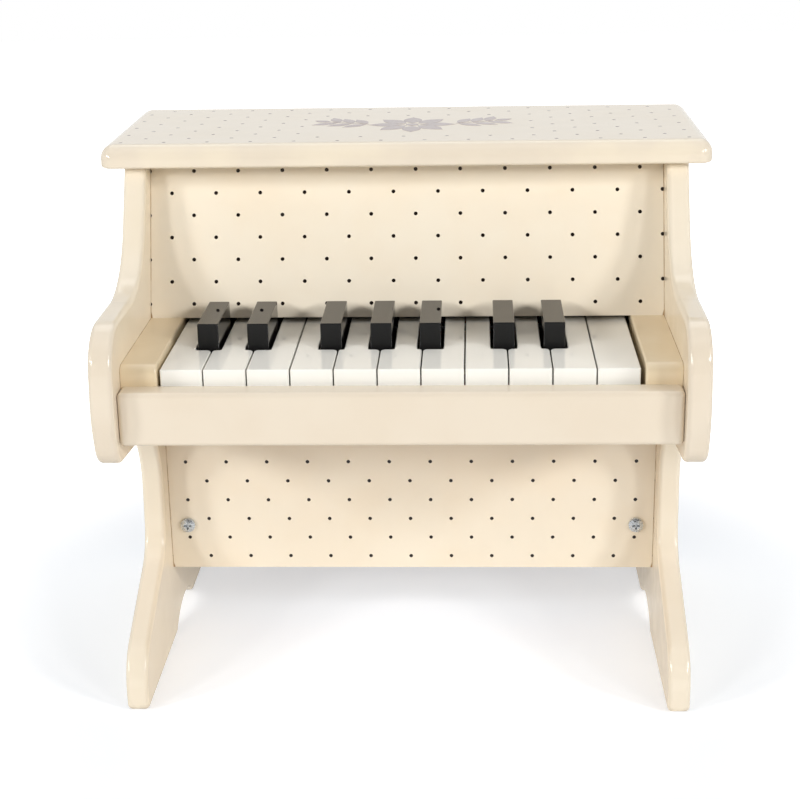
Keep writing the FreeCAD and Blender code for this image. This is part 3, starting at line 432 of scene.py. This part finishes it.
# %% Print the panels
INK = colour(26, 16, 10)
LID_INK = colour(92, 82, 76)
DOT_DIAMETER = 0.00207
INK_ROUGHNESS, INK_SINK = 0.12, -0.4
FACING_RANGE = (0.9, 0.97)
CORNER_SHADE_HEIGHT = 0.0035
CORNER_SHADE_WIDTH = 0.0014
PANEL = colour(246, 235, 215)
PANEL_DEEP = colour(245, 232, 210)
LOWER_PITCH, LOWER_START = 0.0230, (0.0, 0.09515)
UPPER_PITCH, UPPER_START = 0.02382, (-0.00650, 0.236695)
UPPER_LEAN = math.radians(19.2)


def facing(wire, direction):
    """One where the surface faces a direction, and nothing elsewhere."""
    normal = wire.add("ShaderNodeNewGeometry").outputs["Normal"]
    dot = wire.add("ShaderNodeVectorMath", {0: normal, 1: direction}, operation="DOT_PRODUCT")
    return wire.ramp(dot.outputs["Value"], *FACING_RANGE)


def dotted_panel(name, node, lean, pitch, start):
    """Paint, dots and joint lines for a panel that leans back by an angle. Start is one dot's X and Z."""
    material, wire, shader, place = new_finish(name, IOR=PAINT_IOR)
    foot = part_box(node)[0].z
    skin = wire.effect(sprayed_paint, Place=place, Paint=PANEL, Drift=PANEL_DEEP)
    axes = wire.add("ShaderNodeSeparateXYZ", {0: place}).outputs
    across = wire.math("DIVIDE", wire.math("SUBTRACT", axes["X"], start[0]), pitch)
    along = wire.math("DIVIDE", wire.math("SUBTRACT", axes["Z"], start[1]), pitch * math.cos(lean))
    radius = DOT_DIAMETER / 2 / pitch
    dots = wire.effect(printed_dots, Across=across, Along=along, Radius=radius, Place=place)
    front = facing(wire, (0, -math.cos(lean), math.sin(lean)))
    ink = wire.math("MULTIPLY", dots["Dots"], front)
    to_side = wire.math("SUBTRACT", inner_half, wire.math("ABSOLUTE", axes["X"]))
    # Painted shade: the joint line widens into a dark corner at the panel's foot
    seam_and_corner_shade = wire.ramp(axes["Z"], foot, foot + CORNER_SHADE_HEIGHT, CORNER_SHADE_WIDTH, SEAM_WIDTH)
    seam = wire.effect(joint_line, Distance=to_side, Width=seam_and_corner_shade, Place=place)["Line"]
    painted = wire.blend(wire.math("MULTIPLY", seam, front), skin["Colour"], SEAM)
    wire.join(wire.blend(ink, painted, INK), shader.inputs["Base Color"])
    wire.join(wire.math("MULTIPLY_ADD", ink, INK_ROUGHNESS, skin["Roughness"]), shader.inputs["Roughness"])
    raise_surface(wire, shader, wire.math("MULTIPLY_ADD", ink, INK_SINK, skin["Height"]), PEEL_DEPTH)
    return material


lower_print = dotted_panel("lower_print", "lower_panel", 0.0, LOWER_PITCH, LOWER_START)
upper_print = dotted_panel("upper_print", "upper_panel", UPPER_LEAN, UPPER_PITCH, UPPER_START)
dress(lower_print, "lower_panel")
dress(upper_print, "upper_panel")

# %% [markdown]
# ## The lid
# The lid's flat top carries the same dots, and its rounded edge is bare cream, painted deeper than the top
# as painted shade. Seen at a low angle the paint mirrors the white room, which greys the cream. The dots are
# printed paler here. They leave a clear field in the middle for an ornament.

# %% Print the lid
LID_PITCH = 0.02304
LID_START = (-0.012365, 0.05043)
FIELD_MIDDLE = (0.0025, 0.0530)
FIELD_HALF = (0.0560, 0.0300)

lid_print, wire, shader, place = new_finish("lid_print", IOR=PAINT_IOR)
flat_top = facing(wire, (0, 0, 1))
# Painted shade: the rounded edge gets the deeper cream, the flat top the plain cream
paint = wire.blend(flat_top, SHADED_CREAM, CREAM)
skin = wire.effect(sprayed_paint, Place=place, Paint=paint, Drift=CREAM_DEEP)
axes = wire.add("ShaderNodeSeparateXYZ", {0: place}).outputs
steps = [wire.math("DIVIDE", wire.math("SUBTRACT", axes[axis], start), LID_PITCH)
         for axis, start in zip("XY", LID_START)]
dots = wire.effect(printed_dots, Across=steps[0], Along=steps[1], Radius=DOT_DIAMETER / 2 / LID_PITCH,
                   Place=place)
spans = [wire.math("ABSOLUTE", wire.math("DIVIDE", wire.math("SUBTRACT", axes[axis], middle), half))
         for axis, middle, half in zip("XY", FIELD_MIDDLE, FIELD_HALF)]
outside = wire.math("GREATER_THAN", wire.math("MAXIMUM", *spans), 1.0)
ink = wire.math("MULTIPLY", wire.math("MULTIPLY", dots["Dots"], flat_top), outside)
wire.join(wire.blend(ink, skin["Colour"], LID_INK), shader.inputs["Base Color"])
wire.join(wire.math("MULTIPLY_ADD", ink, INK_ROUGHNESS, skin["Roughness"]), shader.inputs["Roughness"])
raise_surface(wire, shader, skin["Height"], PEEL_DEPTH)
dress(lid_print, "lid")

# %% [markdown]
# ## The leaf ornament
# A rosette with a leafy sprig on each side is printed in the clear field on the lid, in a soft mauve
# grey. It is stencilled: ink a tenth of a millimetre thick, with a bridge of bare paint between the
# stem and each leaf. One leaf starts as a circle that is pulled to a point at both ends. A stem is a
# short edge, spun along part of a circle. A mask in the paint could draw this too, but flat pieces stay
# crisp.

# %% Draw the ornament
INK_LAYER = 0.0001
BRIDGE = 0.0008
BEND_RADIUS = 0.100
STEM_HALF = 0.0005
STEM_REACH = (0.0245, 0.0465)
PAIR_REACHES = (0.0250, 0.0335, 0.0420)
SPRIG_LEAF = (0.0160, 0.0066)
END_LEAF = (0.0110, 0.0060)
PETALS = 8
PETAL = (0.0200, 0.0104)
EYE_RADIUS = 0.0034
LEAN = math.radians(50)
LEAF_POINTS, LEAF_TAPER = 24, 2.4
STEM_STEPS = 12
lid_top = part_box("lid")[1].z


def add_leaf(mesh, spot, heading, size, gap=BRIDGE):
    """A flat leaf beside a spot: a circle, pulled to a point at both ends and scaled to its size."""
    leaf = bmesh.ops.create_circle(mesh, cap_ends=True, segments=LEAF_POINTS, radius=0.5)["verts"]
    for vert in leaf:
        vert.co.y *= 1 - (2 * abs(vert.co.x)) ** LEAF_TAPER
    bmesh.ops.scale(mesh, vec=(*size, 1), verts=leaf)
    bmesh.ops.translate(mesh, vec=(size[0] / 2 + gap, 0, 0), verts=leaf)
    bmesh.ops.rotate(mesh, matrix=Matrix.Rotation(heading, 3, "Z"), verts=leaf)
    bmesh.ops.translate(mesh, vec=spot, verts=leaf)


def on_bend(reach, side):
    """The spot on a bent stem at this distance from the middle, and the stem's heading there."""
    turn = reach / BEND_RADIUS
    spot = Vector((side * BEND_RADIUS * math.sin(turn), BEND_RADIUS * (1 - math.cos(turn)), 0))
    return spot, turn if side > 0 else math.pi - turn


def add_stem(mesh, side):
    """A stem that bends towards the back of the lid."""
    turns = [side * reach / BEND_RADIUS for reach in STEM_REACH]
    rim = [mesh.verts.new((radius * math.sin(turns[0]), BEND_RADIUS - radius * math.cos(turns[0]), 0))
           for radius in (BEND_RADIUS - STEM_HALF, BEND_RADIUS + STEM_HALF)]
    bmesh.ops.spin(mesh, geom=rim + [mesh.edges.new(rim)], cent=(0, BEND_RADIUS, 0), axis=(0, 0, 1),
                   dvec=(0, 0, 0), angle=turns[1] - turns[0], steps=STEM_STEPS)


ornament = bmesh.new()
for side in (-1, 1):
    add_stem(ornament, side)
    for reach in PAIR_REACHES:
        spot, heading = on_bend(reach, side)
        for lean in (-LEAN, LEAN):
            add_leaf(ornament, spot, heading + lean, SPRIG_LEAF)
    add_leaf(ornament, *on_bend(STEM_REACH[1], side), END_LEAF)
for number in range(PETALS):
    add_leaf(ornament, Vector(), 2 * math.pi * number / PETALS, PETAL, EYE_RADIUS + BRIDGE)
bmesh.ops.create_circle(ornament, cap_ends=True, segments=LEAF_POINTS, radius=EYE_RADIUS)
layer = bmesh.ops.extrude_face_region(ornament, geom=ornament.faces[:])["geom"]
raised = [item for item in layer if isinstance(item, bmesh.types.BMVert)]
bmesh.ops.translate(ornament, vec=(0, 0, INK_LAYER), verts=raised)
bmesh.ops.translate(ornament, vec=(*FIELD_MIDDLE, lid_top), verts=ornament.verts[:])
bmesh.ops.recalc_face_normals(ornament, faces=ornament.faces[:])
ornament_mesh = bpy.data.meshes.new("leaf_ornament")
ornament.to_mesh(ornament_mesh)
ornament.free()
leaf_ornament = bpy.data.objects.new("leaf_ornament", ornament_mesh)
bpy.context.scene.collection.objects.link(leaf_ornament)
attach(leaf_ornament, "case")
print("ornament faces", len(ornament_mesh.polygons))

# %% Print the ornament's ink
MAUVE = colour(166, 151, 149)
MAUVE_PALE = colour(180, 166, 163)
FADE_SCALE, FADE_RANGE, FADE_ROUGHNESS = 420.0, (0.4, 0.75), 0.06

leaf_ink, wire, shader, place = new_finish("leaf_ink", IOR=PAINT_IOR)
skin = wire.effect(sprayed_paint, Place=place, Paint=MAUVE, Drift=MAUVE_PALE)
worn = wire.ramp(wire.noise(place, FADE_SCALE, detail=3.0), *FADE_RANGE)
wire.join(wire.blend(worn, skin["Colour"], MAUVE_PALE), shader.inputs["Base Color"])
wire.join(wire.math("ADD", skin["Roughness"], FADE_ROUGHNESS), shader.inputs["Roughness"])
raise_surface(wire, shader, skin["Height"], PEEL_DEPTH)
ornament_mesh.materials.append(leaf_ink)
print(leaf_ink.name, "on the ornament")

# %% [markdown]
# ## Shared effect: handled gloss
# Fingers polish keys and leave smudges and hairline scratches. Smudges are soft noise that roughens the
# gloss a little, and the scratches are noise pulled long and thin along the key. Both stay faint: the
# keys are new.

# %% Build the gloss group
SMUDGE_SCALE, SMUDGE_RANGE = 85.0, (0.42, 0.72)
HAIRLINE_SCALES, HAIRLINE_RANGE = (2600.0, 60.0, 900.0), (0.62, 0.75)
WAVE_SCALE, WAVE_HEIGHT = 130.0, 3.0
TONE_SCALE = 34.0

handled_gloss, wire, given, made = new_effect(
    "handled_gloss", {"Place": "Vector", "Clean": "Float", "Smudged": "Float"},
    {"Roughness": "Float", "Height": "Float", "Tone": "Float"})
smudge = wire.ramp(wire.noise(given["Place"], SMUDGE_SCALE, detail=4.0), *SMUDGE_RANGE)
span = wire.math("SUBTRACT", given["Smudged"], given["Clean"])
wire.join(wire.math("MULTIPLY_ADD", smudge, span, given["Clean"]), made["Roughness"])
hairline = wire.noise(wire.stretch(given["Place"], HAIRLINE_SCALES), 1.0)
wave = wire.noise(given["Place"], WAVE_SCALE, detail=1.0)
scratches = wire.ramp(hairline, *HAIRLINE_RANGE)
wire.join(wire.math("MULTIPLY_ADD", wave, WAVE_HEIGHT, scratches), made["Height"])
wire.join(wire.noise(given["Place"], TONE_SCALE, detail=1.0), made["Tone"])
print("group", handled_gloss.name)

# %% [markdown]
# ## The keys
# White and black keys are glossy plastic. The white tops mirror the dark fronts of the black keys, and
# the black tops mirror the dotted panel. So both need a low roughness. Each key is one solid, so its
# hidden lever has the same gloss.

# %% Gloss the keys
WHITE_KEYS = ["white_key_%d" % number for number in range(1, 12)]
BLACK_KEYS = ["black_key_%d" % number for number in range(1, 8)]
IVORY, IVORY_DEEP = colour(251, 250, 244), colour(249, 247, 240)
JET, JET_DEEP = colour(9, 9, 10), colour(12, 12, 12)
GLOSS_DEPTH = 0.000002


def key_gloss(name, pale, deep, clean, smudged, front, ior):
    """A key's plastic: glossy, but duller on the front end, where it was cut to length."""
    material, wire, shader, place = new_finish(name, IOR=ior)
    gloss = wire.effect(handled_gloss, Place=place, Clean=clean, Smudged=smudged)
    wire.join(wire.blend(gloss["Tone"], pale, deep), shader.inputs["Base Color"])
    cut_end = wire.math("MULTIPLY", facing(wire, (0, -1, 0)), front)
    wire.join(wire.math("MAXIMUM", gloss["Roughness"], cut_end), shader.inputs["Roughness"])
    raise_surface(wire, shader, gloss["Height"], GLOSS_DEPTH)
    return material


white_gloss = key_gloss("white_gloss", IVORY, IVORY_DEEP, clean=0.03, smudged=0.08, front=0.2, ior=1.5)
black_gloss = key_gloss("black_gloss", JET, JET_DEEP, clean=0.03, smudged=0.09, front=0.4, ior=1.42)
dress(white_gloss, *WHITE_KEYS)
dress(black_gloss, *BLACK_KEYS)

# %% [markdown]
# ## Shared effect: timber grain
# The parts that nobody sees from the front are bare softwood. Grain is bands that run along the board,
# bent by slow noise, with thin fibres on top. The coordinates are stretched along the grain before they
# enter the group.

# %% Build the timber group
BEND_SCALES, BEND_RANGE, BEND_SHARE = (5.0, 30.0, 30.0), (0.2, 0.8), (0.4, 1.0)
RING_SCALES, RING_RANGE = (2.0, 120.0, 160.0), (0.2, 1.0)
RING_WAVE = {"Scale": 1.0, "Distortion": 3.5, "Detail": 2.0, "Detail Scale": 1.2}
FIBRE_SCALES, FIBRE_RANGE = (60.0, 2400.0, 2400.0), (0.35, 0.75)
FIBRE_SHARE, RING_SHARE = 0.35, 0.65
DULL_RANGE, WOOD_ROUGHNESS = (0.3, 0.7), (0.55, 0.78)
RING_HEIGHT = 0.5

timber_grain, wire, given, made = new_effect(
    "timber_grain", {"Place": "Vector", "Early": "Color", "Late": "Color"},
    {"Colour": "Color", "Roughness": "Float", "Height": "Float"})
bend = wire.noise(wire.stretch(given["Place"], BEND_SCALES), 1.0, detail=3.0)
long_place = wire.stretch(given["Place"], RING_SCALES)
rings = wire.add("ShaderNodeTexWave", {"Vector": long_place, **RING_WAVE},
                 bands_direction="DIAGONAL", wave_profile="SAW").outputs["Fac"]
fibres = wire.noise(wire.stretch(given["Place"], FIBRE_SCALES), 1.0, detail=3.0)
late = wire.math("MULTIPLY", wire.ramp(rings, *RING_RANGE), wire.ramp(bend, *BEND_RANGE, *BEND_SHARE))
figure = wire.math("MULTIPLY_ADD", wire.ramp(fibres, *FIBRE_RANGE), FIBRE_SHARE,
                   wire.math("MULTIPLY", late, RING_SHARE))
wire.join(wire.blend(figure, given["Early"], given["Late"]), made["Colour"])
wire.join(wire.ramp(fibres, *DULL_RANGE, *WOOD_ROUGHNESS), made["Roughness"])
wire.join(wire.math("MULTIPLY_ADD", late, RING_HEIGHT, fibres), made["Height"])
print("group", timber_grain.name)

# %% Leave the inner wood bare
PINE = colour(222, 190, 146)
PINE_LATE = colour(186, 142, 94)
QUARTER = math.pi / 2
WOOD_IOR = 1.45
GRAIN_DEPTH = 0.00012


def bare_wood(name, grain_turn):
    """Bare softwood, its grain turned along the piece."""
    material, wire, shader, place = new_finish(name, IOR=WOOD_IOR)
    along = wire.stretch(place, (1, 1, 1), grain_turn)
    grain = wire.effect(timber_grain, Place=along, Early=PINE, Late=PINE_LATE)
    wire.join(grain["Colour"], shader.inputs["Base Color"])
    wire.join(grain["Roughness"], shader.inputs["Roughness"])
    raise_surface(wire, shader, grain["Height"], GRAIN_DEPTH)
    return material


dress(bare_wood("pine_across", (0, 0, 0)), "key_bed", "tone_bar_front_rail", "tone_bar_rear_rail",
      "lid_cleats")
dress(bare_wood("pine_upright", (0, QUARTER, 0)), "lower_panel_cleats")

# %% [markdown]
# ## The back panel
# The case is closed behind with pressed board: brown wood fibre, smooth but speckled, with no grain.
# Two sizes of noise make the specks, and a third breaks the gloss that the press left.

# %% Press the back board
FIBRE_DARK = colour(118, 84, 54)
FIBRE_PALE = colour(158, 120, 82)
SPECK_SCALE, SPECK_STRETCH, SPECK_RANGE = 1500.0, (1.0, 1.0, 0.35), (0.3, 0.7)
CLOUD_SCALE, EVEN_SHARE = 60.0, 0.5
PRESS_RANGE, PRESS_ROUGHNESS = (0.3, 0.8), (0.42, 0.66)
SPECK_DEPTH = 0.00008

pressed_board, wire, shader, place = new_finish("pressed_board", IOR=WOOD_IOR)
specks = wire.noise(wire.stretch(place, SPECK_STRETCH), SPECK_SCALE, detail=4.0)
clouds = wire.noise(place, CLOUD_SCALE, detail=3.0)
tone = wire.math("MULTIPLY_ADD", clouds, EVEN_SHARE,
                 wire.math("MULTIPLY", wire.ramp(specks, *SPECK_RANGE), EVEN_SHARE))
wire.join(wire.blend(tone, FIBRE_DARK, FIBRE_PALE), shader.inputs["Base Color"])
wire.join(wire.ramp(specks, *PRESS_RANGE, *PRESS_ROUGHNESS), shader.inputs["Roughness"])
raise_surface(wire, shader, specks, SPECK_DEPTH)
dress(pressed_board, "back_panel")

# %% [markdown]
# ## Felt
# Felt strips quieten the keys and carry the tone bars. Felt is a mat of fine fibres that scatters
# light, so it has no shine, a sheen at its rim, and a fuzzy height made of fine noise over a coarser
# one.

# %% Mat the felt
WINE = colour(128, 44, 46)
WINE_PALE = colour(160, 78, 76)
FUZZ_SCALE, FUZZ_SHARE = 3200.0, 0.6
MAT_SCALE, MAT_STRETCH, MAT_SHARE = 700.0, (1.0, 2.2, 1.6), 0.4
PILE_RANGE, PILE_DEPTH = (0.3, 0.75), 0.0003

red_felt, wire, shader, place = new_finish("red_felt", Roughness=0.95, Sheen_Weight=0.5, Sheen_Roughness=0.4)
fuzz = wire.noise(place, FUZZ_SCALE, detail=3.0)
mat = wire.noise(wire.stretch(place, MAT_STRETCH), MAT_SCALE, detail=4.0)
pile = wire.math("MULTIPLY_ADD", fuzz, FUZZ_SHARE, wire.math("MULTIPLY", mat, MAT_SHARE))
wire.join(wire.blend(wire.ramp(pile, *PILE_RANGE), WINE, WINE_PALE), shader.inputs["Base Color"])
raise_surface(wire, shader, pile, PILE_DEPTH)
dress(red_felt, "key_stop_felt", "key_rest_strip", "tone_bar_felts")

# %% [markdown]
# ## Shared effect: drawn metal
# Rods, bars and pins are pulled or rolled in the mill, which leaves fine lines along them. The same
# stretched noise serves all of them: it shifts the tone, breaks the shine and gives the lines a little
# depth.

# %% Build the metal group
STAIN_SCALE = 0.05
MILL_RANGE, MILL_ROUGHNESS = (0.3, 0.7), 0.16

drawn_metal, wire, given, made = new_effect(
    "drawn_metal", {"Place": "Vector", "Metal": "Color", "Dull": "Color", "Shine": "Float"},
    {"Colour": "Color", "Roughness": "Float", "Height": "Float"})
lines = wire.noise(given["Place"], 1.0, detail=4.0)
stains = wire.noise(given["Place"], STAIN_SCALE)
dulled = wire.math("MULTIPLY", lines, stains)
wire.join(wire.blend(dulled, given["Metal"], given["Dull"]), made["Colour"])
milled = wire.ramp(lines, *MILL_RANGE)
wire.join(wire.math("MULTIPLY_ADD", milled, MILL_ROUGHNESS, given["Shine"]), made["Roughness"])
wire.join(lines, made["Height"])
print("group", drawn_metal.name)

# %% Finish the metal pieces
BRIGHT_STEEL = (colour(198, 199, 202), colour(140, 141, 144))
BRIGHT_BARS = (colour(226, 227, 229), colour(178, 180, 183))
ZINC = (colour(222, 226, 230), colour(168, 181, 190))
ROD_LINES, PIN_LINES = (40.0, 3000.0, 3000.0), (2000.0, 2000.0, 200.0)
BAR_LINES, SCREW_LINES = (3000.0, 60.0, 3000.0), (900.0, 900.0, 900.0)
LINE_DEPTH = 0.00001


def metal(name, tones, lines, shine, pure=1.0):
    """A metal with lines along one direction: the lines' scale is small along them and large across."""
    material, wire, shader, place = new_finish(name, Metallic=pure)
    stretched = wire.stretch(place, lines)
    drawn = wire.effect(drawn_metal, Place=stretched, Metal=tones[0], Dull=tones[1], Shine=shine)
    wire.join(drawn["Colour"], shader.inputs["Base Color"])
    wire.join(drawn["Roughness"], shader.inputs["Roughness"])
    raise_surface(wire, shader, drawn["Height"], LINE_DEPTH)
    return material


dress(metal("rod_steel", BRIGHT_STEEL, ROD_LINES, shine=0.22), "key_pivot_rod", "hammer_rod")
dress(metal("pin_steel", BRIGHT_STEEL, PIN_LINES, shine=0.25), "tone_bar_pins")
dress(metal("bar_metal", BRIGHT_BARS, BAR_LINES, shine=0.30), "tone_bars")
screw_zinc = metal("screw_zinc", ZINC, SCREW_LINES, shine=0.20, pure=0.75)
dress(screw_zinc, "lower_panel_screws", "back_panel_screws")

# %% [markdown]
# ## The hammers
# The hammers are moulded in pale matt plastic. A spark-eroded mould leaves a fine pebbled skin, which
# is a bump from small noise cells, with a slow drift of tone where the plastic flowed.

# %% Mould the hammers
HAMMERS = ["hammer_%d" % number for number in range(1, 19)]
BONE = colour(232, 226, 210)
BONE_DEEP = colour(220, 212, 194)
BONE_IOR = 1.46
PEBBLE_SCALE, PEBBLE_RANGE, PEBBLE_ROUGHNESS = 1600.0, (0.1, 0.7), (0.48, 0.62)
PEBBLE_DEPTH = 0.00006
FLOW_SCALE = 90.0

hammer_plastic, wire, shader, place = new_finish("hammer_plastic", IOR=BONE_IOR)
pebbles = wire.add("ShaderNodeTexVoronoi", {"Vector": place, "Scale": PEBBLE_SCALE}).outputs["Distance"]
flow = wire.noise(place, FLOW_SCALE)
wire.join(wire.blend(flow, BONE, BONE_DEEP), shader.inputs["Base Color"])
wire.join(wire.ramp(pebbles, *PEBBLE_RANGE, *PEBBLE_ROUGHNESS), shader.inputs["Roughness"])
raise_surface(wire, shader, pebbles, PEBBLE_DEPTH)
dress(hammer_plastic, *HAMMERS)
